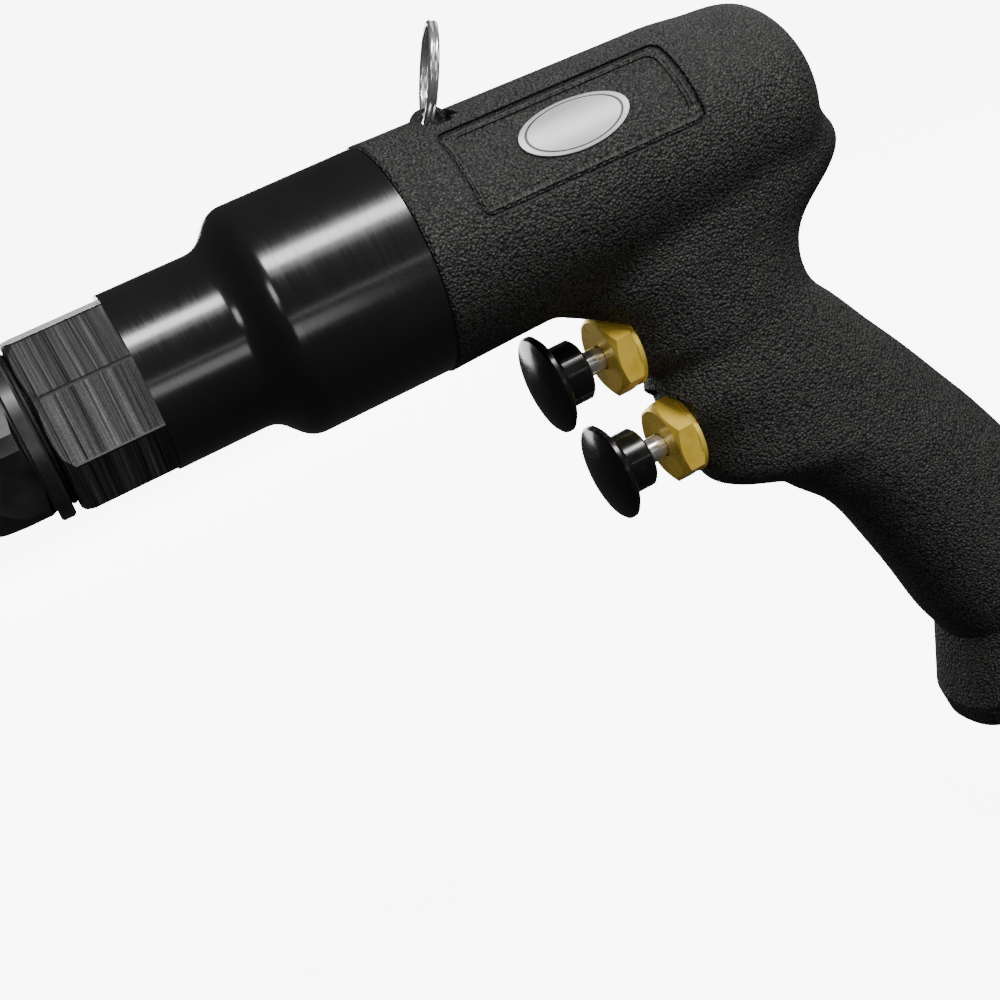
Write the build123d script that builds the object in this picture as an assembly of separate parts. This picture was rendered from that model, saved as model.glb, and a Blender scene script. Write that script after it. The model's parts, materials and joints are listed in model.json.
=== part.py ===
from build123d import *
from math import acos, cos, pi, radians, sin, sqrt, tan
import os

# A spin-type pneumatic rivet-nut gun. Millimetres. X is the barrel axis and points to the rear,
# Z is up, and the origin is the centre of the anvil face, where a rivet nut's flange rests.

FIT = 0.02                  # gap between pieces that are pressed or screwed together
RUN = 0.05                  # radial gap of a running fit
SEG = 5                     # straight steps on one involute flank

# Nose and barrel
ANVIL_R = 9.8
NOSE_R, NOSE_CONE_X = 16.7, 24.8
NOSE_HEX_AF, NOSE_HEX_TURN = 30.4, -6.0
FLANGE_X0, FLANGE_X1, FLANGE_R = 30.2, 33.2, 17.45
NOSE_THREAD_R = 15.0        # M30 x 1.5
NOSE_THREAD_END = 46.0
MANDREL_R, SHANK_NECK_R = 4.0, 3.7      # M8 x 1.25, and its shank inside the nosepiece
MANDREL_OUT = 30.0          # stud length in front of the anvil
HEAD_R, HEAD_X0, HEAD_X1 = 6.5, 44.0, 52.0
DRIVE_AF = 6.0              # hexagon that turns the mandrel
OCT_X0, OCT_X1, OCT_AF = 34.4, 54.0, 33.7
NECK_R, NECK_X1 = 18.2, 72.3
CASE_R, CASE_X0 = 24.0, 82.9
HOUSING_X0 = 111.0
SPIGOT_R, SPIGOT_X1 = 20.35, 121.0
GEAR_BORE_R, GEAR_BORE_X0 = 18.5, 80.0

# Two equal planetary stages
MODULE = 0.75
SUN_Z, PLANET_Z, RING_Z = 12, 15, 42
PRESSURE = radians(20)
CENTRE = MODULE * (SUN_Z + PLANET_Z) / 2
FACE = 10.0                 # tooth face width
BACKLASH = 0.10
PIN_R = 2.0
OUT_PLANET_X = 80.4
IN_PLANET_X = 97.4
RING_X0, RING_X1 = 80.1, 109.0

# Vane motor
MOTOR_R = 19.45
MOTOR_X0, MOTOR_X1 = 121.0, 169.0
PLATE_X0, PLATE_X1 = 109.1, 179.0
ROTOR_R, BORE_R, ECCENTRIC = 14.4, 16.0, 1.5
VANES, VANE_T, VANE_DEPTH = 5, 1.5, 6.5
LINER_R, LINER_X1 = 21.4, 180.0

# Push-button valves: (name, front face of the nut, height of the axis)
VALVES = (("upper", 143.9, -36.4), ("lower", 149.7, -60.0))
NUT_AF, NUT_T, COLLAR_R, COLLAR_T = 17.0, 5.0, 8.9, 1.0
POCKET_R = {"upper": 10.8, "lower": 12.5}   # recesses in the housing round the nuts
SHANK_R, SHANK_L = 6.5, 12.0
SLEEVE_R, SLEEVE_L = 7.0, 20.0
STEM_R, TRAVEL = 2.75, 4.5
KNOB_R, HUB_R = 11.0, 6.8

# Hanger
HANG_X, HANG_Z = 127.9, 22.7
HANG_HOLE_R = 2.05
LUG_R, LUG_W = 3.5, 5.0
RING_R, WIRE_R = 9.4, 0.6
RING_TILT, RING_TWIST = 26.0, -12.0

# Framed panels on the flanks
PANEL_X, PANEL_ANGLE = 148.9, 57.5
PANEL_STEPS = ((51.0, 20.4, 0.45), (46.2, 15.8, 0.8))   # length, width and depth of each step
PANEL_DEPTH = 0.8

# Handle end; distances along its axis are measured out of the handle
END_X, END_Z, END_TILT = 221.9, -153.6, 22.0
END_CUT = -1.0              # the handle's end face
INLET_R = 5.72              # G 1/4 thread, minor diameter 11.45
CAP_R, CAP_SPIGOT_R = 18.6, 14.6
SILENCER_L = 14.0
BLEND_R = 11.0              # blend between the motor housing and the grip

GRIP_EXPONENTS = (2.5, 2.2)   # of the grip's sections, rear and front

# Grip sections: height, front, rear, half width
HANDLE = (
    (-4, 139, 208, 19.5), (-12, 139, 211.5, 18.6), (-19, 139, 207.8, 17.6), (-25, 140, 199.4, 16.7),
    (-31, 145.5, 194.8, 15.9), (-38, 148.2, 194.2, 15.2), (-50, 150.8, 202, 14.6),
    (-61, 154.4, 209.8, 14.6), (-69, 156.4, 215.2, 14.8), (-74, 159.2, 218.4, 15.0),
    (-78, 167.2, 220.9, 15.2), (-82, 174.8, 223.3, 15.5), (-88.5, 181.2, 226.9, 15.9),
    (-98, 187.4, 231.6, 16.4), (-110, 192.0, 236.2, 16.9), (-124, 196.6, 240.3, 17.3),
    (-132, 199.8, 242.2, 17.6), (-139.4, 202.9, 243.4, 17.7),
)

# Flared base: distance along the end axis, reach to the front, reach to the rear, half width, exponent
BASE = (
    (-22.5, 11.5, 27.0, 17.0, 2.5), (-8.4, 22.6, 27.6, 19.3, 2.4), (-2.8, 23.6, 26.6, 19.2, 2.3),
    (END_CUT, 20.0, 25.4, 18.9, 2.3),
)


def rod(x0, x1, radius, y=0.0, z=0.0):
    """A round bar along X."""
    return Pos((x0 + x1) / 2, y, z) * Rot(0, 90, 0) * Cylinder(radius, x1 - x0)


def tube(x0, x1, radius, bore, y=0.0, z=0.0):
    return rod(x0, x1, radius, y, z) - rod(x0 - 1, x1 + 1, bore, y, z)


def turned(points):
    """A solid turned about X from its outline of (x, radius) corners."""
    return revolve(make_face(Polyline(*points, close=True)), Axis.X)


def prism(x0, x1, face):
    """A face drawn in the Y-Z plane, extruded along X."""
    return extrude(Plane.YZ.offset(x0) * face, x1 - x0)


def hexagon(across_flats, turn=0.0):
    return RegularPolygon(across_flats / sqrt(3), 6, rotation=turn)


def rolled(shape, angle, y=0.0, z=0.0):
    """The shape turned about an axis along X."""
    return Pos(0, y, z) * Rot(angle, 0, 0) * Pos(0, -y, -z) * shape


def involute(radius, base):
    angle = acos(min(1.0, base / radius))
    return tan(angle) - angle


def toothed(teeth, tip, root, thicken=0.0, turn=0.0):
    """The face of an external gear, or of the space inside an internal one."""
    pitch = MODULE * teeth / 2
    base = pitch * cos(PRESSURE)
    half = (pi * MODULE / 2 + thicken) / 2 / pitch + involute(pitch, base)
    start = max(base, root)
    radii = [start + (tip - start) * i / SEG for i in range(SEG + 1)]
    flank = [(root, half)] + [(r, half - involute(r, base)) for r in radii if r > root + 1e-6]
    points = []
    for tooth in range(teeth):
        middle = 2 * pi * tooth / teeth + radians(turn)
        for r, a in flank:
            points.append((r * cos(middle - a), r * sin(middle - a)))
        for r, a in reversed(flank):
            points.append((r * cos(middle + a), r * sin(middle + a)))
    return make_face(Polyline(*points, close=True))


def sun_face():
    pitch = MODULE * SUN_Z / 2
    return toothed(SUN_Z, pitch + 0.95 * MODULE, pitch - 1.25 * MODULE, -BACKLASH)


def planet_face(turn):
    pitch = MODULE * PLANET_Z / 2
    return toothed(PLANET_Z, pitch + 0.85 * MODULE, pitch - 1.2 * MODULE, -BACKLASH, turn)


def planet_places():
    """Angle and centre of each planet about the barrel axis."""
    places = []
    for k in range(3):
        angle = 90 + 120 * k
        places.append((angle, CENTRE * cos(radians(angle)), CENTRE * sin(radians(angle))))
    return places


def planet(x0, place):
    """A planet gear with a tooth space towards the sun."""
    angle, y, z = place
    face = planet_face(angle + 180 + 180 / PLANET_Z) - Circle(PIN_R + RUN)
    return Pos(0, y, z) * prism(x0, x0 + FACE, face)


def planet_pins(x0, x1):
    return Compound([rod(x0, x1, PIN_R, y, z) for _, y, z in planet_places()])


def ring_gear():
    pitch = MODULE * RING_Z / 2
    space = toothed(RING_Z, pitch + 1.2 * MODULE, pitch - 0.6 * MODULE, BACKLASH, 90)
    return prism(RING_X0, RING_X1, Circle(GEAR_BORE_R - FIT) - space)


def ball_bearing(x0, width, bore, outer, balls, ball_r):
    """Inner ring, outer ring, and the balls with their cage, of a deep-groove bearing."""
    middle = (bore + outer) / 2
    groove = Pos(x0 + width / 2, 0, 0) * Rot(0, 90, 0) * Torus(middle, ball_r + 0.03)
    inner = tube(x0, x0 + width, middle - 0.45 * ball_r, bore) - groove
    outer_ring = tube(x0, x0 + width, outer, middle + 0.45 * ball_r) - groove
    cage = tube(x0 + width / 2 - 0.9, x0 + width - 0.5, middle + 0.3 * ball_r, middle - 0.3 * ball_r)
    set_of_balls = []
    for k in range(balls):
        angle = 2 * pi * k / balls
        place = Pos(x0 + width / 2, middle * cos(angle), middle * sin(angle))
        set_of_balls.append(place * Sphere(ball_r))
        cage -= place * Sphere(ball_r + 0.06)
    return inner, outer_ring, Compound([cage] + set_of_balls)


# Nose -------------------------------------------------------------------------------------------

def nosepiece():
    """The anvil: a cone with a hexagon for a wrench, a flange and a threaded spigot."""
    outline = [(0, 0), (0, ANVIL_R - 0.6), (0.6, ANVIL_R), (NOSE_CONE_X, NOSE_R),
               (FLANGE_X0 - 1.0, NOSE_R), (FLANGE_X0 - 0.3, NOSE_R - 1.4), (FLANGE_X0, NOSE_R - 1.4),
               (FLANGE_X0, FLANGE_R - 0.4), (FLANGE_X0 + 0.4, FLANGE_R), (FLANGE_X1 - 0.5, FLANGE_R),
               (FLANGE_X1, FLANGE_R - 0.5), (FLANGE_X1, 14.2), (35.2, 14.2), (35.9, NOSE_THREAD_R - RUN),
               (NOSE_THREAD_END - 0.8, NOSE_THREAD_R - RUN), (NOSE_THREAD_END, 14.2), (NOSE_THREAD_END, 0)]
    body = turned(outline)
    flats = prism(-1, FLANGE_X0, hexagon(NOSE_HEX_AF, NOSE_HEX_TURN))
    wrench_part = body & (flats + prism(FLANGE_X0, NOSE_THREAD_END + 1, Circle(25)))
    wrench_part -= rod(-1, NOSE_THREAD_END + 1, MANDREL_R + 0.1)
    return wrench_part - rod(HEAD_X0 - 3, NOSE_THREAD_END + 1, HEAD_R + 0.3)


def mandrel():
    """M8 socket-head cap screw that pulls the rivet nut; its head faces the drive bit."""
    screw = turned([(-MANDREL_OUT, 0), (-MANDREL_OUT, MANDREL_R - 0.9), (-MANDREL_OUT + 0.9, MANDREL_R),
                    (0, MANDREL_R), (0, SHANK_NECK_R), (HEAD_X0, SHANK_NECK_R), (HEAD_X0, HEAD_R),
                    (HEAD_X1 - 0.8, HEAD_R), (HEAD_X1, HEAD_R - 0.8), (HEAD_X1, 0)])
    return screw - prism(HEAD_X1 - 4, HEAD_X1 + 1, hexagon(DRIVE_AF))


def barrel():
    """Front case: octagon, neck, shoulder and gear case in one turned piece."""
    shoulder = Spline((NECK_X1, NECK_R), (CASE_X0, CASE_R), tangents=((1, 0), (1, 0)))
    outline = Polyline((CASE_X0, CASE_R), (HOUSING_X0 - 0.3, CASE_R), (HOUSING_X0 - 0.3, SPIGOT_R),
                       (SPIGOT_X1 - 0.6, SPIGOT_R), (SPIGOT_X1, SPIGOT_R - 0.6), (SPIGOT_X1, 0),
                       (OCT_X0, 0), (OCT_X0, NECK_R - 1.6), (OCT_X0 + 0.7, NECK_R - 0.7),
                       (OCT_X0 + 2.3, NECK_R), (NECK_X1, NECK_R))
    body = revolve(make_face(outline + shoulder), Axis.X)
    ring = Circle(30) - RegularPolygon(OCT_AF / 2 / cos(pi / 8), 8, rotation=22.5)
    body -= prism(OCT_X0 - 1, OCT_X1, ring)
    bore = turned([(OCT_X0 - 1, 0), (OCT_X0 - 1, 15.6), (OCT_X0 + 1.6, 15.6), (OCT_X0 + 1.6, NOSE_THREAD_R),
                   (49, NOSE_THREAD_R), (49, 14.0), (68.5, 14.0), (68.5, 12.2), (70.5, 12.2), (70.5, 15.8),
                   (GEAR_BORE_X0, 15.8), (GEAR_BORE_X0, GEAR_BORE_R), (SPIGOT_X1 + 1, GEAR_BORE_R),
                   (SPIGOT_X1 + 1, 0)])
    return body - bore - tube(59.8, 61.1, 14.8, 13.0)


# Gear train -------------------------------------------------------------------------------------

def output_carrier():
    body = rod(72.2, 79.4, 15.3) + rod(56.0, 72.2, 7.5 - FIT)
    body -= prism(55, 68, hexagon(DRIVE_AF))
    for _, y, z in planet_places():
        body -= rod(74.2, 80, PIN_R, y, z)
    return body


def first_carrier():
    body = rod(91.4, 96.6, 14.2) + prism(OUT_PLANET_X + 0.3, 91.4, sun_face())
    for _, y, z in planet_places():
        body -= rod(93, 97, PIN_R, y, z)
    return body


def rotor():
    """Rotor with its shafts, the first sun cut on the front one, and slots for the vanes."""
    body = rod(MOTOR_X0 + 0.15, MOTOR_X1 - 0.15, ROTOR_R)
    for k in range(VANES):
        slot = Pos((MOTOR_X0 + MOTOR_X1) / 2, 0, ROTOR_R) * Box(60, VANE_T + 0.1, 2 * VANE_DEPTH)
        body -= rolled(slot, 360 * k / VANES)
    body += rod(109.4, MOTOR_X0 + 0.15, 6.0 - FIT) + rod(MOTOR_X1 - 0.15, 177.5, 4.5 - FIT)
    return body + prism(IN_PLANET_X + 0.3, 109.4, sun_face())


def vanes():
    """Vanes held in their slots, flush with the rotor."""
    height = VANE_DEPTH - 0.3
    vane = Pos((MOTOR_X0 + MOTOR_X1) / 2, 0, ROTOR_R - height / 2 - 0.1)
    vane *= Box(MOTOR_X1 - MOTOR_X0 - 0.5, VANE_T, height)
    return Compound([rolled(vane, 360 * k / VANES) for k in range(VANES)])


def front_end_plate():
    plate = rod(PLATE_X0, MOTOR_X0 - FIT, GEAR_BORE_R - FIT) - rod(PLATE_X0 - 1, 118, 12.0)
    return plate - rod(100, 130, 7.0)


def motor_cylinder():
    body = rod(MOTOR_X0, MOTOR_X1, MOTOR_R) - rod(MOTOR_X0 - 1, MOTOR_X1 + 1, BORE_R, z=ECCENTRIC)
    for x in (135, 145, 155):
        body -= Pos(x, 0, -MOTOR_R) * Cylinder(2.0, 12)
    return body - dowel_hole()


def dowel_hole():
    return rod(MOTOR_X1 - 6, MOTOR_X1 + 4, 1.25, z=-17.4)


def rear_end_plate():
    plate = rod(MOTOR_X1 + FIT, PLATE_X1, MOTOR_R) - rod(171, 180, 11.0) - rod(160, 180, 5.2)
    return plate - dowel_hole()


# Housing ----------------------------------------------------------------------------------------

def rounded_section(low, high, half_width, rear=2.5, front=2.5):
    """A superellipse that runs from low to high along X, with its own exponent at each end."""
    points = []
    for k in range(20):
        angle = 2 * pi * k / 20
        c, s = cos(angle), sin(angle)
        power = 2 / (rear if c > 0 else front)
        u = (1 if c > 0 else -1) * abs(c) ** power
        v = (1 if s > 0 else -1) * abs(s) ** power
        points.append(((low + high) / 2 + (high - low) / 2 * u, half_width * v))
    return make_face(Spline(*points, periodic=True))


def body_outline(inset=0.0):
    """Half outline of the motor housing, turned about X: slightly tapered, rounded at the rear."""
    line = Polyline((209.3 - inset, 0), (HOUSING_X0, 0), (HOUSING_X0, 24.0 - inset),
                    (HOUSING_X0 + 0.5, 24.35 - inset), (120, 24.1 - inset), (178, 22.8 - inset))
    rear = Spline((178, 22.8 - inset), (189, 21.7 - inset), (199.5, 19.8 - inset),
                  (203.8 - inset * 0.5, 15.9 - inset * 0.7), (207.8 - inset, 8.8), (209.3 - inset, 0),
                  tangents=((1, -0.03), (0, -1)))
    return make_face(line + rear)


def panel_recess(side):
    """Shallow stepped panel on the flank of the housing."""
    steps = Part()
    for length, width, depth in PANEL_STEPS:
        plate = extrude(RectangleRounded(length, width, 2.2), 40)
        plate = Pos(PANEL_X, 0, 0) * Rot(side * PANEL_ANGLE, 0, 0) * Pos(0, 0, 5) * plate
        steps += plate - revolve(body_outline(depth), Axis.X)
    return steps


def hanger_lug():
    lug = Pos(HANG_X, 0, HANG_Z - 0.8) * Rot(90, 0, 0) * Cylinder(LUG_R, LUG_W)
    return lug + Pos(HANG_X, 0, 20) * Box(2 * LUG_R, LUG_W, 4)


def handle_axis(distance):
    """A location on the handle's end axis, with its Z pointing out of the handle."""
    tilt = radians(END_TILT)
    return Pos(END_X + distance * sin(tilt), 0, END_Z - distance * cos(tilt)) * Rot(0, 180 - END_TILT, 0)


def end_rod(start, end, radius):
    """A round bar on the handle's end axis, from one distance along it to another."""
    return handle_axis((start + end) / 2) * Cylinder(radius, end - start)


def end_tube(start, end, radius, bore):
    return end_rod(start, end, radius) - end_rod(start - 1, end + 1, bore)


def housing():
    body = revolve(body_outline(), Axis.X)
    rows = [Pos(0, 0, z) * rounded_section(*row, *GRIP_EXPONENTS) for z, *row in HANDLE]
    base = [handle_axis(d) * Rot(0, 180, 0) * rounded_section(-front, *rest) for d, front, *rest in BASE]
    grip = loft(rows)
    both = body + grip
    body = fillet(new_edges(body, grip, combined=both), BLEND_R)
    body += loft(base, ruled=True)
    body += hanger_lug()
    body -= panel_recess(1)
    body -= panel_recess(-1)
    body -= Pos(HANG_X, 0, HANG_Z) * Rot(90, 0, 0) * Cylinder(HANG_HOLE_R, 20)
    for side in (1, -1):
        body -= Pos(HANG_X, side * (LUG_W / 2 + 3), HANG_Z) * Rot(90, 0, 0) * Cylinder(3.5, 6.0)
    body -= rod(HOUSING_X0 - 1, LINER_X1, LINER_R)
    body -= rod(LINER_X1 - 1, 200, 12.0)
    for name, nut_x, z in VALVES:
        seat = nut_x + NUT_T + COLLAR_T
        body -= rod(seat - 12, seat, POCKET_R[name], z=z)
        body -= rod(seat - 1, seat + SHANK_L, SHANK_R, z=z)
        body -= rod(seat + SHANK_L - 1, seat + SHANK_L + SLEEVE_L, SLEEVE_R, z=z)
    body -= Pos(184.5, 0, -32) * Cylinder(4.0, 62)
    body -= end_rod(-100, 10, 4.5)
    body -= end_rod(-32, 10, 8.5)
    body -= end_rod(-SILENCER_L, 20, 13.4)
    return body - end_rod(-4, 20, CAP_SPIGOT_R) - end_rod(END_CUT, 40, 60)


def housing_liner():
    """Metal sleeve moulded into the housing; the barrel screws into its front."""
    body = rod(HOUSING_X0 + 0.6, LINER_X1 - FIT, LINER_R - FIT)
    body -= rod(HOUSING_X0, 122, SPIGOT_R + FIT)
    return body - rod(121, 181, MOTOR_R + FIT)


def badge_plate():
    """Blank oval plate on the panel of the left flank."""
    disc = Pos(PANEL_X, 0, 0) * Rot(PANEL_ANGLE, 0, 0) * Pos(0, 0, 15) * extrude(Ellipse(12.2, 5.7), 20)
    floor = revolve(body_outline(PANEL_DEPTH - FIT), Axis.X)
    return disc & (revolve(body_outline(PANEL_DEPTH - 0.42), Axis.X) - floor)


def hanger_ring():
    """Split ring through the lug, standing as it hangs on a hook."""
    ring = Rot(0, 90, 0) * Torus(RING_R, WIRE_R)
    pair = Pos(WIRE_R * 0.8, 0, 0) * ring + Pos(-WIRE_R * 0.8, 0, 0) * ring
    upright = Pos(0, 0, RING_R) * Rot(0, 0, RING_TWIST) * pair
    return Pos(HANG_X, 0, HANG_Z) * Rot(0, RING_TILT, 0) * upright


# Valves -----------------------------------------------------------------------------------------

def valve_nut(nut_x, z):
    """Brass gland nut that the push-button stem slides in."""
    seat = nut_x + NUT_T
    chamfers = turned([(nut_x, 0), (nut_x, 8.0), (nut_x + 1.1, 9.9), (seat - 0.7, 9.9), (seat, 9.1),
                       (seat, COLLAR_R), (seat + COLLAR_T - FIT, COLLAR_R), (seat + COLLAR_T - FIT, 0)])
    head = chamfers & (prism(nut_x - 1, seat, hexagon(NUT_AF, 96)) + rod(seat, seat + COLLAR_T, 12))
    head += rod(seat, seat + COLLAR_T + SHANK_L, SHANK_R - FIT)
    head -= rod(nut_x - 1, nut_x + TRAVEL + 1.3, STEM_R + RUN)
    return Pos(0, 0, z) * (head - rod(nut_x, nut_x + 30, STEM_R - 0.3 + RUN))


def valve_sleeve(nut_x, z):
    start = nut_x + NUT_T + COLLAR_T + SHANK_L
    sleeve = tube(start + FIT, start + SLEEVE_L - 0.1, SLEEVE_R - FIT, 5.0)
    sleeve += tube(start + SLEEVE_L - 1.4, start + SLEEVE_L - 0.1, 5.2, 2.7)
    for x in (start + 3.5, start + 13):
        sleeve -= Pos(x, 0, 0) * Cylinder(1.4, 30)
    return Pos(0, 0, z) * sleeve


def valve_stem(nut_x, z):
    """Steel stem: thick behind the knob, thin through the nut, with the valve head at its end."""
    start = nut_x + NUT_T + COLLAR_T + SHANK_L
    stem = rod(nut_x - 10.8, nut_x - 0.8, STEM_R) + rod(nut_x - 1, start + 6, STEM_R - 0.3)
    head = rod(start + 5, start + 10, 4.9) - tube(start + 6.6, start + 8.4, 6, 3.9)
    return Pos(0, 0, z) * (stem + head + rod(start + 10, start + 12.5, 2.0))


def stem_o_ring(nut_x, z):
    start = nut_x + NUT_T + COLLAR_T + SHANK_L
    return Pos(start + 7.5, 0, z) * Rot(0, 90, 0) * Torus(4.3, 0.38)


def valve_spring(nut_x, z):
    """Compression spring between the valve head and the end of the sleeve, as a plain tube."""
    start = nut_x + NUT_T + COLLAR_T + SHANK_L
    return tube(start + 10.05, start + SLEEVE_L - 1.45, 3.6, 2.8, z=z)


def button_knob(nut_x, z):
    """Mushroom push button with a domed face and a round hub."""
    rear = nut_x - TRAVEL - 0.9
    face = nut_x - 14.8
    dome = ThreePointArc((face - 1.3, 0), (face - 0.9, 5.6), (face + 0.4, KNOB_R - 0.6))
    back = Polyline((face + 0.4, KNOB_R - 0.6), (face + 0.9, KNOB_R), (face + 1.7, KNOB_R),
                    (face + 2.4, KNOB_R - 0.9), (face + 3.2, HUB_R + 0.6), (face + 3.9, HUB_R),
                    (rear - 0.6, HUB_R), (rear, HUB_R - 0.6), (rear, 0), (face - 1.3, 0))
    knob = revolve(make_face(dome + back), Axis.X)
    return Pos(0, 0, z) * (knob - rod(nut_x - 10.8, nut_x, STEM_R))


# Handle end -------------------------------------------------------------------------------------

def exhaust_cap():
    """Deflector at the handle's end, with a scalloped rim and outlet slots."""
    cap = end_tube(-3.9, 5.5, CAP_SPIGOT_R - FIT, 8.6) + end_tube(END_CUT + FIT, 5.5, CAP_R, 8.6)
    cap -= end_tube(-5, 1.5, 13.4, 8.0)
    for k in range(16):
        spoke = handle_axis(4.4) * Rot(0, 0, 22.5 * k)
        cap -= spoke * Pos(CAP_R + 1.1, 0, 0) * Cylinder(2.2, 4.4)
    for k in range(8):
        spoke = handle_axis(2) * Rot(0, 0, 45 * k)
        cap -= spoke * Pos(11.4, 0, 0) * Cylinder(1.5, 14)
    return cap


def silencer():
    return end_tube(0.2 - SILENCER_L, -0.2, 13.3, 8.6)


def inlet_bushing():
    """Steel air inlet with a G 1/4 socket and a hexagon for a wrench."""
    body = end_rod(-31.8, 7.0, 8.48) + end_rod(5.52, 7.2, 9.6)
    body += extrude(handle_axis(7.1) * hexagon(22), 8)
    body -= end_rod(1.1, 17, INLET_R) + end_rod(0.1, 1.2, 4.9)
    return body - end_rod(-33, 8, 4.0)


def inlet_screen():
    return end_rod(0.12, 1.0, 4.88)


def inlet_o_ring():
    return handle_axis(6.3) * Torus(10.45, 0.75)


# Assembly ---------------------------------------------------------------------------------------

def gear_nodes():
    nodes = {
        "ring_gear": ring_gear(),
        "output_carrier": output_carrier(),
        "output_planet_pins": planet_pins(74.3, OUT_PLANET_X + FACE + 0.3),
        "first_carrier": first_carrier(),
        "first_planet_pins": planet_pins(93.1, IN_PLANET_X + FACE + 0.3),
        "drive_bit": prism(HEAD_X1 - 3.8, 67.5, hexagon(DRIVE_AF - 0.1)),
    }
    for k, place in enumerate(planet_places(), 1):
        nodes[f"output_planet_{k}"] = planet(OUT_PLANET_X, place)
        nodes[f"first_planet_{k}"] = planet(IN_PLANET_X, place)
    return nodes


def bearing_nodes():
    nodes = {}
    sizes = {"spindle_bearing": (61.2, 7.0, 7.5, 14.0, 11, 1.6),
             "front_bearing": (112.0, 5.9, 6.0, 12.0, 10, 1.5),
             "rear_bearing": (171.1, 6.4, 4.5, 11.0, 7, 1.9)}
    for name, size in sizes.items():
        inner, outer, balls = ball_bearing(*size)
        nodes[name + "_inner"] = inner
        nodes[name + "_outer"] = outer
        nodes[name + "_balls"] = balls
    return nodes


def valve_nodes():
    nodes = {}
    for name, nut_x, z in VALVES:
        nodes[name + "_button_knob"] = button_knob(nut_x, z)
        nodes[name + "_valve_stem"] = valve_stem(nut_x, z)
        nodes[name + "_stem_o_ring"] = stem_o_ring(nut_x, z)
        nodes[name + "_valve_nut"] = valve_nut(nut_x, z)
        nodes[name + "_valve_sleeve"] = valve_sleeve(nut_x, z)
        nodes[name + "_valve_spring"] = valve_spring(nut_x, z)
    return nodes


def other_nodes():
    circlip = tube(59.85, 61.05, 14.75, 12.3) - Pos(60.5, 0, -13) * Box(4, 7, 6)
    return {
        "nosepiece": nosepiece(),
        "nose_o_ring": Pos(33.8, 0, 0) * Rot(0, 90, 0) * Torus(14.85, 0.55),
        "mandrel": mandrel(),
        "mandrel_thrust_washer": tube(HEAD_X0 - 2.95, HEAD_X0 - 0.05, HEAD_R, SHANK_NECK_R + RUN),
        "barrel": barrel(),
        "spindle_circlip": circlip,
        "front_end_plate": front_end_plate(),
        "motor_cylinder": motor_cylinder(),
        "cylinder_dowel": rod(MOTOR_X1 - 5.9, MOTOR_X1 + 3.9, 1.23, z=-17.4),
        "rear_end_plate": rear_end_plate(),
        "rear_gasket": tube(PLATE_X1 + FIT, LINER_X1 - FIT, MOTOR_R, 13.0),
        "rotor": rotor(),
        "vanes": vanes(),
        "housing": housing(),
        "housing_liner": housing_liner(),
        "badge_plate": badge_plate(),
        "hanger_ring": hanger_ring(),
        "exhaust_cap": exhaust_cap(),
        "silencer": silencer(),
        "inlet_bushing": inlet_bushing(),
        "inlet_screen": inlet_screen(),
        "inlet_o_ring": inlet_o_ring(),
    }


def main():
    os.makedirs("parts", exist_ok=True)
    nodes = {**other_nodes(), **gear_nodes(), **bearing_nodes(), **valve_nodes()}
    for name, shape in nodes.items():
        export_step(shape, f"parts/{name}.step")


main()
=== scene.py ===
import json
import math

import bpy
from mathutils import Matrix, Vector


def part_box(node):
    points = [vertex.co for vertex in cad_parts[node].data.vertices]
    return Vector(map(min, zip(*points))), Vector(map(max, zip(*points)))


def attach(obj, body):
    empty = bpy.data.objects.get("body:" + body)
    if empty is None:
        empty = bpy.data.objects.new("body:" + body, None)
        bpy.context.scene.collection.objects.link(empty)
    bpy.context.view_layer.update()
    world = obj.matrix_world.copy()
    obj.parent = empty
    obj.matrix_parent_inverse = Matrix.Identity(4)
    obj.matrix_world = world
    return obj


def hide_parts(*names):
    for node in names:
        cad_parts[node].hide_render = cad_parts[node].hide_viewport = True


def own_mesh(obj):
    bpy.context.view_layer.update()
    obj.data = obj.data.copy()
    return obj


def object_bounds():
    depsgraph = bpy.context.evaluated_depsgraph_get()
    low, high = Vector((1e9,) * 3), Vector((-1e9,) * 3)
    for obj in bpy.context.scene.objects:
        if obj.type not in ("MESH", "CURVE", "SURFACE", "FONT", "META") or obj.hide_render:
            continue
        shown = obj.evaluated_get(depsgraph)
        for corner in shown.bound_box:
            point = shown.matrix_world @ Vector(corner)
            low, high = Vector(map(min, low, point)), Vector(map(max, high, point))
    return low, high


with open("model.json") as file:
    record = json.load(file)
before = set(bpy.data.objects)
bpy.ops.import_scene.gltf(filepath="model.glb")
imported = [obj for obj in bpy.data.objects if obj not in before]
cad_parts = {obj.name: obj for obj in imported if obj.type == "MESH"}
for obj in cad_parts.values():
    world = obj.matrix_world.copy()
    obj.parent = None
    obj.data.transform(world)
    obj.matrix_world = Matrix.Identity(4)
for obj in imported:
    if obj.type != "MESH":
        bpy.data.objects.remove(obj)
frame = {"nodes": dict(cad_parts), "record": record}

CAD_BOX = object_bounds()
NODES = frame["nodes"]
MM = 0.001


# Material helpers ---------------------------------------------------------------------------

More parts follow.
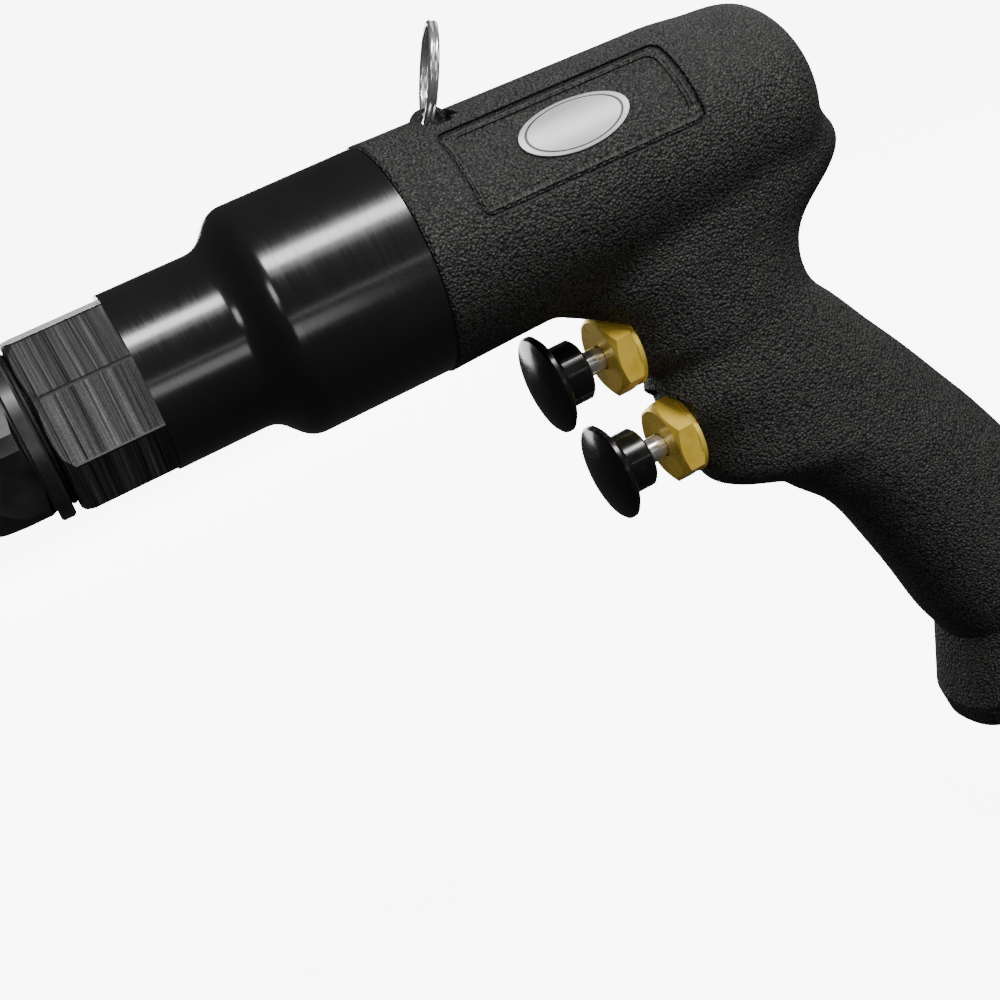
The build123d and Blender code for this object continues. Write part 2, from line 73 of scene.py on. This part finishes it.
class Shader:
    """A material with a Principled shader, and short calls that add nodes to it.

    Places are in metres, so the scale of a noise or of cells is in features per metre.
    """

    def __init__(self, name, metallic=0.0, specular=0.5, roughness=0.5):
        self.material = bpy.data.materials.new(name)
        self.material.use_nodes = True
        self.tree = self.material.node_tree
        self.tree.nodes.clear()
        output = self.add("ShaderNodeOutputMaterial")
        self.bsdf = self.add("ShaderNodeBsdfPrincipled")
        self.join(self.bsdf.outputs["BSDF"], output.inputs["Surface"])
        self.set("Metallic", metallic)
        self.set("Specular IOR Level", specular)
        self.set("Roughness", roughness)
        self.place = self.add("ShaderNodeTexCoord").outputs["Object"]

    def add(self, kind, **settings):
        node = self.tree.nodes.new(kind)
        for key, value in settings.items():
            setattr(node, key, value)
        return node

    def join(self, socket, target):
        self.tree.links.new(socket, target)

    def set(self, key, value):
        self.bsdf.inputs[key].default_value = value

    def noise(self, scale, detail=3.0, rough=0.55, stretch=None, distortion=0.0):
        """Grey noise; with unequal stretch for X, Y and Z it is drawn out into lines."""
        node = self.add("ShaderNodeTexNoise")
        node.inputs["Scale"].default_value = scale
        node.inputs["Detail"].default_value = detail
        node.inputs["Roughness"].default_value = rough
        node.inputs["Distortion"].default_value = distortion
        self.join(self.stretched(stretch), node.inputs["Vector"])
        return node.outputs["Fac"]

    def cells(self, scale):
        node = self.add("ShaderNodeTexVoronoi")
        node.inputs["Scale"].default_value = scale
        self.join(self.place, node.inputs["Vector"])
        return node.outputs["Distance"]

    def stretched(self, stretch):
        if stretch is None:
            return self.place
        node = self.add("ShaderNodeMapping")
        node.inputs["Scale"].default_value = stretch
        self.join(self.place, node.inputs["Vector"])
        return node.outputs["Vector"]

    def ramp(self, socket, *stops):
        """A colour ramp through stops of (position, grey or colour)."""
        node = self.add("ShaderNodeValToRGB")
        elements = node.color_ramp.elements
        while len(elements) < len(stops):
            elements.new(0.5)
        for element, (position, value) in zip(elements, stops):
            element.position = position
            colour = value if isinstance(value, tuple) else (value,) * 3
            element.color = (*colour, 1.0)
        self.join(socket, node.inputs["Fac"])
        return node.outputs["Color"]

    def math(self, operation, a, b=0.0):
        node = self.add("ShaderNodeMath", operation=operation)
        for socket, value in zip(node.inputs, (a, b)):
            if isinstance(value, (int, float)):
                socket.default_value = value
            else:
                self.join(value, socket)
        return node.outputs[0]

    def mix(self, factor, a, b, blend="MIX"):
        node = self.add("ShaderNodeMix", data_type="RGBA", blend_type=blend)
        factor_in, a_in, b_in = node.inputs[0], node.inputs[6], node.inputs[7]
        for socket, value in ((factor_in, factor), (a_in, a), (b_in, b)):
            if isinstance(value, (int, float)):
                socket.default_value = value
            elif isinstance(value, tuple):
                socket.default_value = (*value, 1.0)
            else:
                self.join(value, socket)
        return node.outputs[2]

    def coordinates(self):
        """The place's X, Y and Z."""
        split = self.add("ShaderNodeSeparateXYZ")
        self.join(self.place, split.inputs[0])
        return split.outputs

    def length(self, a, b):
        """The length of a vector from its two components."""
        return self.math("SQRT", self.math("ADD", self.math("MULTIPLY", a, a), self.math("MULTIPLY", b, b)))

    def between(self, value, low, high, soft):
        """1 where a value lies from low to high, with soft ends."""
        ends = []
        for a, b in ((low - soft, low + soft), (high + soft, high - soft)):
            node = self.add("ShaderNodeMapRange")
            self.join(value, node.inputs["Value"])
            node.inputs["From Min"].default_value = a
            node.inputs["From Max"].default_value = b
            ends.append(node.outputs["Result"])
        return self.math("MULTIPLY", *ends)

    def bump(self, *layers):
        """Bump in layers of (height socket, depth in metres, strength), one over the other."""
        last = None
        for height, depth, strength in layers:
            node = self.add("ShaderNodeBump")
            node.inputs["Distance"].default_value = depth
            if isinstance(strength, (int, float)):
                node.inputs["Strength"].default_value = strength
            else:
                self.join(strength, node.inputs["Strength"])
            self.join(height, node.inputs["Height"])
            if last is not None:
                self.join(last, node.inputs["Normal"])
            last = node.outputs["Normal"]
        self.join(last, self.bsdf.inputs["Normal"])

    def worn_edges(self, radius):
        """0 on flat areas and 1 on sharp edges, over about a radius from them."""
        bevel = self.add("ShaderNodeBevel", samples=6)
        bevel.inputs["Radius"].default_value = radius
        geometry = self.add("ShaderNodeNewGeometry")
        dot = self.add("ShaderNodeVectorMath", operation="DOT_PRODUCT")
        self.join(bevel.outputs[0], dot.inputs[0])
        self.join(geometry.outputs["True Normal"], dot.inputs[1])
        return self.ramp(self.math("SUBTRACT", 1.0, dot.outputs["Value"]), (0.06, 0.0), (0.27, 1.0))

    def colour(self, socket):
        self.join(socket, self.bsdf.inputs["Base Color"])

    def rough(self, socket):
        self.join(socket, self.bsdf.inputs["Roughness"])


# Materials ----------------------------------------------------------------------------------

PANEL_X, PANEL_ANGLE = 148.9 * MM, math.radians(57.5)   # middle along the barrel, slope to level
PANEL_OUTLINE = (51.0, 20.4, 2.2)                       # length, width and corner radius, in mm
BADGE_LONG, BADGE_SHORT = 12.2 * MM, 5.7 * MM           # the oval plate's half axes
OCTAGON_X = (34.6 * MM, 53.9 * MM)                      # where the octagon's flats are milled
OCTAGON_CORNER = (18.03 * MM, 18.1 * MM)                # radii where flats give way to corners


def panel_place(s):
    """Places along the panel's length and width, from its middle, the same on both flanks."""
    x, y, z = s.coordinates()
    along = s.math("SUBTRACT", x, PANEL_X)
    down = s.math("MULTIPLY", s.math("ABSOLUTE", y), -math.cos(PANEL_ANGLE))
    return along, s.math("ADD", down, s.math("MULTIPLY", z, math.sin(PANEL_ANGLE)))


def rounded_outline(s, along, across, length, width, corner):
    """Distance outside a rounded rectangle, in millimetres, good near its edge."""
    beyond = []
    for value, size in ((along, length), (across, width)):
        over = s.math("SUBTRACT", s.math("ABSOLUTE", value), (size / 2 - corner) * MM)
        beyond.append(s.math("MAXIMUM", over, 0.0))
    return s.math("SUBTRACT", s.math("MULTIPLY", s.length(*beyond), 1 / MM), corner)


def band(s, distance, middle, half, soft):
    """1 where a distance is within half of the middle, with soft sides."""
    off = s.math("ABSOLUTE", s.math("SUBTRACT", distance, middle))
    node = s.add("ShaderNodeMapRange", interpolation_type="SMOOTHSTEP")
    s.join(off, node.inputs["Value"])
    node.inputs["From Min"].default_value = half + soft
    node.inputs["From Max"].default_value = max(half - soft, 0.0)
    return node.outputs["Result"]


def pebbled_plastic():
    """Glass-filled black composite: fine moulded grain with painted shade in its crevices, painted glints,
    and the panels' outlines with painted shade in their groove and a painted highlight on their rib.
    """
    s = Shader("housing_composite", specular=0.42)
    grain = s.cells(1600.0)
    fine = s.noise(2400.0, 1.5, 0.6)
    broad = s.noise(70.0, 3.0)
    pits = s.ramp(grain, (0.45, 1.0), (0.8, 0.0))
    painted_glint = s.ramp(s.noise(2500.0, 1.0, 0.4), (0.55, 0.0), (0.66, 1.0))
    base = s.ramp(broad, (0.3, (0.012, 0.012, 0.0111)), (0.7, (0.02, 0.02, 0.0184)))
    # painted highlight: light specks standing in for glints off the grain
    base = s.mix(s.math("MULTIPLY", painted_glint, 0.55), base, (0.11, 0.11, 0.101))
    # painted shade: near black in the low crevices between the grain's pebbles
    base = s.mix(s.math("SUBTRACT", 1.0, pits), base, (0.0018, 0.0018, 0.0016))
    outside = rounded_outline(s, *panel_place(s), *PANEL_OUTLINE)
    shaded_groove = band(s, outside, -0.15, 0.3, 0.16)
    lit_rib = band(s, outside, -1.25, 0.3, 0.22)
    # painted shade in the outline's groove, and a painted highlight along the rib just inside it
    base = s.mix(s.math("MULTIPLY", shaded_groove, 0.9), base, (0.0012, 0.0012, 0.0011))
    base = s.mix(s.math("MULTIPLY", lit_rib, 0.55), base, (0.06, 0.06, 0.056))
    s.colour(base)
    s.rough(s.ramp(fine, (0.3, 0.5), (0.7, 0.75)))
    s.bump((s.math("SUBTRACT", lit_rib, shaded_groove), 0.0006, 0.9),
           (s.math("SUBTRACT", 1.0, grain), 0.00042, 0.9),
           (fine, 0.00012, 0.6))
    return s.material


def case_finish():
    """Gloss black anodising, with milled striations on the octagon's flats."""
    s = Shader("black_anodised", specular=0.75)
    x, y, z = s.coordinates()
    inner, outer = OCTAGON_CORNER
    spread = 50.0                                       # brings radii within the ramp's 0 to 1
    corner = s.ramp(s.math("MULTIPLY", s.length(y, z), spread), (inner * spread, 1.0), (outer * spread, 0.0))
    flats = s.math("MULTIPLY", s.between(x, *OCTAGON_X, 0.05 * MM), corner)
    lines = s.noise(1.0, 3.0, 0.8, stretch=(4300.0, 22.0, 22.0))
    coarse = s.noise(1.0, 2.0, 0.5, stretch=(700.0, 9.0, 9.0))
    dots = s.noise(5200.0, 1.0)
    tone = s.math("ADD", s.math("MULTIPLY", lines, 0.62), s.math("MULTIPLY", coarse, 0.38))
    milled = s.ramp(tone, (0.39, 0.006), (0.44, 0.06), (0.55, 0.15), (0.66, 0.42))
    milled = s.mix(0.5, milled, s.ramp(dots, (0.35, 0.2), (0.6, 1.0)), "MULTIPLY")
    swirl = s.noise(26.0)
    black = s.ramp(swirl, (0.3, 0.006), (0.7, 0.0105))
    s.colour(s.mix(flats, black, milled))
    turned = s.noise(1.0, 3.0, 0.7, stretch=(4200.0, 60.0, 60.0))
    smooth = s.ramp(turned, (0.3, 0.13), (0.7, 0.23))
    s.rough(s.mix(flats, smooth, (0.32, 0.32, 0.32)))
    s.join(s.math("MULTIPLY", flats, 0.75), s.bsdf.inputs["Metallic"])
    s.bump((lines, 0.00006, s.math("MULTIPLY", flats, 0.8)),
           (turned, 0.00001, 0.45),
           (swirl, 0.0002, 0.04))
    return s.material


def oxide_steel():
    """Satin black oxide with lighter, rubbed edges."""
    s = Shader("black_oxide", specular=0.6)
    blotch = s.noise(160.0, 4.0, 0.6)
    edges = s.worn_edges(0.0005)
    base = s.ramp(blotch, (0.3, (0.010, 0.010, 0.010)), (0.75, (0.026, 0.026, 0.026)))
    s.colour(s.mix(s.math("MULTIPLY", edges, 0.55), base, (0.12, 0.12, 0.12)))
    s.rough(s.ramp(blotch, (0.3, 0.27), (0.7, 0.42)))
    s.bump((s.noise(1.0, 3.0, stretch=(2600.0, 120.0, 120.0)), 0.00001, 0.5),
           (s.noise(1500.0), 0.00002, 0.3))
    return s.material


def turned_brass():
    """Yellow brass with browner patches, lighter edges and fine turning marks."""
    s = Shader("yellow_brass", metallic=0.45)
    blotch = s.noise(240.0, 4.0, 0.6)
    edges = s.worn_edges(0.0004)
    base = s.ramp(blotch, (0.28, (0.74, 0.46, 0.04)), (0.5, (0.93, 0.64, 0.08)), (0.8, (0.96, 0.72, 0.15)))
    s.colour(s.mix(s.math("MULTIPLY", edges, 0.6), base, (0.85, 0.68, 0.28)))
    s.rough(s.ramp(blotch, (0.3, 0.36), (0.7, 0.24)))
    s.bump((s.noise(1.0, 3.0, stretch=(3800.0, 90.0, 90.0)), 0.00001, 0.5))
    return s.material


def polished_steel(name, base, roughness, stretch, depth=0.000006):
    """Ground or turned bright steel; stretch gives the direction of its lay."""
    s = Shader(name, metallic=0.82)
    lay = s.noise(1.0, 4.0, 0.7, stretch=stretch)
    smudge = s.noise(130.0, 3.0)
    dark = tuple(0.72 * c for c in base)
    s.colour(s.ramp(smudge, (0.3, dark), (0.65, base)))
    s.rough(s.ramp(lay, (0.3, roughness * 0.75), (0.7, roughness * 1.35)))
    s.bump((lay, depth, 0.6))
    return s.material


def knob_gloss():
    """Polished black phenolic with faint dust and hairline scratches."""
    s = Shader("knob_phenolic", specular=0.55)
    dust = s.ramp(s.noise(900.0, 2.0), (0.6, 0.0), (0.8, 1.0))
    s.colour(s.mix(s.math("MULTIPLY", dust, 0.3), (0.005, 0.005, 0.005), (0.03, 0.03, 0.03)))
    s.rough(s.ramp(s.noise(260.0, 4.0), (0.3, 0.12), (0.7, 0.24)))
    s.bump((s.noise(1.0, 3.0, stretch=(180.0, 1400.0, 1400.0)), 0.000004, 0.4))
    return s.material


def satin_badge():
    """Blank satin aluminium plate with a plain border line."""
    s = Shader("badge_satin", metallic=0.35)
    brush = s.noise(1.0, 3.0, 0.7, stretch=(60.0, 3800.0, 3800.0))
    base = s.ramp(brush, (0.3, 0.36), (0.7, 0.48))
    along, across = panel_place(s)
    reach = s.length(s.math("DIVIDE", along, BADGE_LONG), s.math("DIVIDE", across, BADGE_SHORT))
    line = s.ramp(reach, (0.84, 0.0), (0.855, 1.0), (0.885, 1.0), (0.9, 0.0))
    s.colour(s.mix(line, base, (0.02, 0.02, 0.02)))
    s.rough(s.ramp(brush, (0.3, 0.34), (0.7, 0.46)))
    s.bump((brush, 0.000005, 0.5), (line, 0.00004, 0.6))
    return s.material


def soft_rubber():
    """Black seal rubber with a faint grey bloom."""
    s = Shader("seal_rubber")
    bloom = s.noise(700.0, 3.0)
    s.colour(s.ramp(bloom, (0.35, 0.009), (0.75, 0.022)))
    s.rough(s.ramp(bloom, (0.3, 0.48), (0.7, 0.66)))
    s.bump((bloom, 0.00001, 0.5))
    return s.material


def matte_cap():
    """Plain moulded plastic of the exhaust cap."""
    s = Shader("cap_nylon")
    fine = s.noise(2400.0, 3.0)
    s.colour(s.ramp(s.noise(110.0), (0.3, 0.011), (0.7, 0.019)))
    s.rough(s.ramp(fine, (0.3, 0.4), (0.7, 0.56)))
    s.bump((fine, 0.00005, 0.6))
    return s.material


def plain_metal(name, dark, light, roughness, depth=0.00003):
    """Cast, ground or sintered metal of the inner pieces."""
    s = Shader(name, metallic=1.0)
    noise = s.noise(900.0, 4.0, 0.6)
    s.colour(s.ramp(noise, (0.3, dark), (0.7, light)))
    s.rough(s.ramp(noise, (0.3, roughness * 1.2), (0.7, roughness * 0.8)))
    s.bump((noise, depth, 0.5))
    return s.material


def felt():
    """Grey pressed felt with tangled fibres."""
    s = Shader("silencer_felt", roughness=0.9)
    fibre = s.noise(1400.0, 5.0, 0.7, distortion=1.5)
    s.colour(s.ramp(fibre, (0.3, (0.25, 0.24, 0.21)), (0.7, (0.5, 0.48, 0.43))))
    s.bump((fibre, 0.0003, 0.9))
    return s.material


def phenolic():
    """Brown cloth-filled phenolic, mottled by its filler."""
    s = Shader("vane_phenolic", roughness=0.45)
    mottle = s.cells(2200.0)
    s.colour(s.ramp(mottle, (0.1, (0.26, 0.15, 0.07)), (0.6, (0.14, 0.075, 0.035))))
    s.bump((mottle, 0.00004, 0.5))
    return s.material


MATERIALS = {
    "housing_plastic": pebbled_plastic(),
    "cast_alloy": plain_metal("cast_alloy", (0.4, 0.4, 0.41), (0.62, 0.62, 0.63), 0.4),
    "black_case": case_finish(),
    "black_oxide": oxide_steel(),
    "seal_rubber": soft_rubber(),
    "bronze": plain_metal("bronze", (0.42, 0.24, 0.1), (0.62, 0.4, 0.18), 0.35),
    "gear_steel": plain_metal("gear_steel", (0.2, 0.2, 0.21), (0.36, 0.36, 0.37), 0.32),
    "bright_steel": polished_steel("bright_steel", (0.62, 0.62, 0.63), 0.2, (2600.0, 90.0, 90.0)),
    "cast_iron": plain_metal("ground_iron", (0.12, 0.12, 0.12), (0.24, 0.24, 0.24), 0.42, depth=0.00005),
    "vane_phenolic": phenolic(),
    "ring_chrome": polished_steel("ring_nickel", (0.78, 0.77, 0.75), 0.16, (900.0, 900.0, 900.0)),
    "badge_metal": satin_badge(),
    "cap_plastic": matte_cap(),
    "silencer_felt": felt(),
    "inlet_steel": polished_steel("zinc_steel", (0.5, 0.5, 0.51), 0.3, (700.0, 700.0, 700.0), 0.00002),
    "knob_gloss": knob_gloss(),
    "stem_steel": polished_steel("stem_steel", (0.78, 0.76, 0.74), 0.2, (3000.0, 60.0, 60.0)),
    "nut_brass": turned_brass(),
}
SLOTS = {row["node"]: row["material_slot"] for row in frame["record"]["subparts"]}

for name, piece in NODES.items():
    piece.data.materials.clear()
    piece.data.materials.append(MATERIALS[SLOTS[name]])


# Pieces that replace plain CAD solids ----------------------------------------------------------

def grid_mesh(name, rings):
    """A closed mesh through rings of equally many points, with a flat cap at each end."""
    count = len(rings[0])
    points = [p for ring in rings for p in ring]
    faces = []
    for i in range(len(rings) - 1):
        for k in range(count):
            j = (k + 1) % count
            faces.append((i * count + k, i * count + j, (i + 1) * count + j, (i + 1) * count + k))
    faces.append(tuple(reversed(range(count))))
    faces.append(tuple(range((len(rings) - 1) * count, len(rings) * count)))
    mesh = bpy.data.meshes.new(name)
    mesh.from_pydata(points, [], faces)
    mesh.validate()
    mesh.update()
    return mesh


def new_piece(name, mesh, body, slot, node, smooth=40.0):
    """A shown piece on a body, which stands for a CAD node and takes a slot's material."""
    for polygon in mesh.polygons:
        polygon.use_smooth = True
    mesh.set_sharp_from_angle(angle=math.radians(smooth))
    piece = bpy.data.objects.new(name, mesh)
    bpy.context.scene.collection.objects.link(piece)
    mesh.materials.append(MATERIALS[slot])
    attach(piece, body)
    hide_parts(node)
    return piece


def thread_radius(phase, major, depth):
    """Radius of a V thread with small flats, where phase runs from 0 to 1 over one pitch."""
    crest, slope = 0.1, 0.78                # shares of the half pitch
    distance = abs((phase % 1.0) - 0.5) * 2.0
    return major - depth * min(1.0, max(0.0, (distance - crest) / slope))


def mandrel_mesh():
    """Socket-head screw, in millimetres, with a cut M8 thread on its exposed end."""
    major, neck, head, socket_half, socket_deep = 4.0, 3.7, 6.5, 3.0, 4.0
    tip, seat, head_front, head_rear = -30.0, 0.0, 44.0, 52.0
    pitch, depth, lead_in, front_bevel, rear_bevel = 1.25, 0.68, 0.9, 0.3, 0.8
    steps, count = 16, 72                   # rings to a pitch, and points to a ring
    angles = [2 * math.pi * k / count for k in range(count)]

    def ring(x, radii, turn=0.0):
        return [(x * MM, radius * math.cos(angle + turn) * MM, radius * math.sin(angle + turn) * MM)
                for radius, angle in zip(radii, angles)]

    def circle(x, radius):
        return ring(x, [radius] * count)

    def socket(x):
        radii = [socket_half / math.cos((a + math.pi / 6) % (math.pi / 3) - math.pi / 6) for a in angles]
        points = ring(x, radii, math.pi / 2)
        quarter = count // 4
        return points[-quarter:] + points[:-quarter]

    rings = []
    total = int(round((seat - tip) / pitch * steps))
    for i in range(total + 1):
        x = tip + (seat - tip) * i / total
        largest = major - lead_in * (1.0 - min(1.0, (x - tip) / lead_in))
        rings.append(ring(x, [min(thread_radius(x / pitch - k / count, major, depth), largest)
                              for k in range(count)]))
    rings += [circle(seat + 0.001, neck), circle(head_front, neck),
              circle(head_front, head - front_bevel), circle(head_front + front_bevel, head),
              circle(head_rear - rear_bevel, head), circle(head_rear, head - rear_bevel),
              socket(head_rear), socket(head_rear - socket_deep)]
    return grid_mesh("mandrel_screw", rings)


def tube_along(name, path, radius, count):
    """A round tube along a list of points, in metres, with count points round it."""
    points = [Vector(p) for p in path]
    last = len(points) - 1
    normal = None
    rings = []
    for i, p in enumerate(points):
        tangent = (points[min(i + 1, last)] - points[max(i - 1, 0)]).normalized()
        if normal is None:
            normal = tangent.orthogonal().normalized()
        normal = (normal - tangent * normal.dot(tangent)).normalized()
        side = tangent.cross(normal)
        rings.append([p + radius * (math.cos(a) * normal + math.sin(a) * side)
                      for a in (2 * math.pi * k / count for k in range(count))])
    return grid_mesh(name, rings)


def spring_mesh(name, node, turns):
    """A compression spring inside a CAD node's box, with its end turns wound close."""
    low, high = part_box(node)
    wire, flat = 0.38 * MM, 0.9             # the wire's radius, and the turns wound close at an end
    middle_y, middle_z = (low.y + high.y) / 2, (low.z + high.z) / 2
    radius = (high.z - low.z) / 2 - wire
    length = high.x - low.x - 2 * wire
    steps = 44                              # points to a turn
    path = []
    for i in range(int(turns * steps) + 1):
        turn = i / steps
        rise = min(max((turn - flat) / (turns - 2 * flat), 0.0), 1.0)
        ends = min(turn, flat) / flat + max(turn - turns + flat, 0.0) / flat
        x = low.x + wire + (length - 4 * wire) * rise + 2 * wire * ends
        angle = 2 * math.pi * turn
        path.append((x, middle_y + radius * math.cos(angle), middle_z + radius * math.sin(angle)))
    return tube_along(name, path, wire, 8)


def split_ring_mesh():
    """Flat double coil of spring wire, which crosses over from one coil to the other once."""
    radius, wire, shift = 9.4 * MM, 0.58 * MM, 0.48 * MM
    eye = Vector((127.9, 0.0, 22.7)) * MM   # the lug's eye, at the coil's lowest point
    lean, twist = math.radians(26.0), math.radians(-12.0)
    cross_start, cross_length = 0.94, 0.12  # in turns
    winding, first_end = 0.992, 0.35        # how full a turn is, and where the wire's end lies
    place = (Matrix.Translation(eye) @ Matrix.Rotation(lean, 4, "Y")
             @ Matrix.Translation((0, 0, radius)) @ Matrix.Rotation(twist, 4, "Z"))
    steps = 120                             # points to a turn
    path = []
    for i in range(2 * steps + 1):
        turn = i / steps
        cross = min(max((turn - cross_start) / cross_length, 0.0), 1.0)
        cross = cross * cross * (3 - 2 * cross)
        offset = shift * (2 * cross - 1)
        angle = 2 * math.pi * (winding * turn) + first_end
        path.append(place @ Vector((offset, radius * math.sin(angle), -radius * math.cos(angle))))
    return tube_along("split_ring", path, wire, 16)


new_piece("mandrel_screw", mandrel_mesh(), "output_spindle", "black_oxide", "mandrel", smooth=50.0)
new_piece("split_ring", split_ring_mesh(), "hanger", "ring_chrome", "hanger_ring")
SPRING_TURNS = 6.5
for side in ("upper", "lower"):
    node, joint = side + "_valve_spring", side + "_button_press"
    mesh = spring_mesh(node, node, SPRING_TURNS)
    spring = new_piece(side + "_spring_coil", mesh, "tool_body", "bright_steel", node)
    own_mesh(spring)


# Stage, lights and camera --------------------------------------------------------------------

BACKDROP, AMBIENT = 8.0, 0.045              # strength to the camera, and to everything else
FLOOR_HALF, FLOOR_DROP = 60.0, 0.03
MIDDLE = (0.1, 0.0, 0.0)
SOFTBOXES = (
    # name, place, what it faces, width and height, brightness
    ("key_core", (0.33, -0.51, 0.74), MIDDLE, (0.72, 0.18), 24.0),
    ("key_wide", (0.33, -0.52, 0.73), MIDDLE, (0.85, 0.44), 2.0),
    ("left_key", (-0.30, -0.70, 0.40), MIDDLE, (0.26, 0.26), 6.0),
    ("right_fill", (0.78, -0.72, 0.22), (0.19, 0.0, -0.03), (0.4, 0.4), 4.5),
    ("front_strip", (0.20, -0.66, 0.02), MIDDLE, (0.7, 0.02), 3.0),
    ("front_card", (0.08, -0.62, -0.12), MIDDLE, (0.3, 0.12), 2.6),
    ("rear_fill", (0.9, 0.6, 0.5), MIDDLE, (0.8, 0.8), 1.2),
    ("far_key", (0.05, 0.95, 0.0), MIDDLE, (0.9, 0.24), 6.0),
)


def lit_paper():
    """White paper, lit through from behind, as bright as the backdrop."""
    s = Shader("floor_paper", roughness=0.9)
    s.colour(s.ramp(s.noise(3.0, 2.0), (0.3, 0.79), (0.7, 0.8)))
    s.set("Emission Color", (1.0, 1.0, 1.0, 1.0))
    s.set("Emission Strength", BACKDROP)
    s.material.cycles.emission_sampling = "NONE"
    return s.material


def make_floor():
    """A wide pale floor just below the tool, which neither lights it nor shows in its gloss."""
    mesh = bpy.data.meshes.new("floor")
    corners = [(x * FLOOR_HALF, y * FLOOR_HALF, 0) for x, y in ((-1, -1), (1, -1), (1, 1), (-1, 1))]
    mesh.from_pydata(corners, [], [(0, 1, 2, 3)])
    floor = bpy.data.objects.new("floor", mesh)
    floor.location.z = CAD_BOX[0].z - FLOOR_DROP
    mesh.materials.append(lit_paper())
    bpy.context.scene.collection.objects.link(floor)
    floor.visible_diffuse = False
    floor.visible_glossy = False


def softbox(name, place, target, size, glow):
    """A rectangular softbox, with its width along the barrel and glow as its radiance."""
    light = bpy.data.lights.new(name, "AREA")
    light.shape = "RECTANGLE"
    light.size, light.size_y = size
    light.energy = glow * math.pi * size[0] * size[1]
    lamp = bpy.data.objects.new(name, light)
    back = (Vector(place) - Vector(target)).normalized()
    side = Vector((1, 0, 0))
    side = (side - back * back.x).normalized()
    turn = Matrix((side, back.cross(side), back)).transposed()
    lamp.matrix_world = Matrix.Translation(place) @ turn.to_4x4()
    lamp.visible_camera = False
    bpy.context.scene.collection.objects.link(lamp)


def make_world():
    """A white backdrop to the camera, and a dim ambient light to everything else."""
    world = bpy.data.worlds.new("studio")
    bpy.context.scene.world = world
    world.use_nodes = True
    tree = world.node_tree
    background = tree.nodes["Background"]
    background.inputs["Color"].default_value = (1.0, 1.0, 1.0, 1.0)
    strength = tree.nodes.new("ShaderNodeMapRange")
    strength.inputs["To Min"].default_value = AMBIENT
    strength.inputs["To Max"].default_value = BACKDROP
    path = tree.nodes.new("ShaderNodeLightPath")
    tree.links.new(path.outputs["Is Camera Ray"], strength.inputs["Value"])
    tree.links.new(strength.outputs["Result"], background.inputs["Strength"])


def make_camera():
    """Pinhole fitted to the tool, from its place and its right and up directions."""
    data = bpy.data.cameras.new("camera")
    data.lens, data.sensor_width = 54.0, 36.0
    data.clip_start, data.clip_end = 0.01, 200.0
    camera = bpy.data.objects.new("camera", data)
    place = (0.030323, -0.291817, 0.035432)
    right = Vector((0.85700388, -0.35234458, -0.37602879))
    up = Vector((0.44744197, 0.14683249, 0.8821768))
    back = right.cross(up)
    turn = Matrix((right, up, back)).transposed()
    camera.matrix_world = Matrix.Translation(place) @ turn.to_4x4()
    bpy.context.scene.collection.objects.link(camera)
    bpy.context.scene.camera = camera


make_floor()
make_world()
for row in SOFTBOXES:
    softbox(*row)
make_camera()
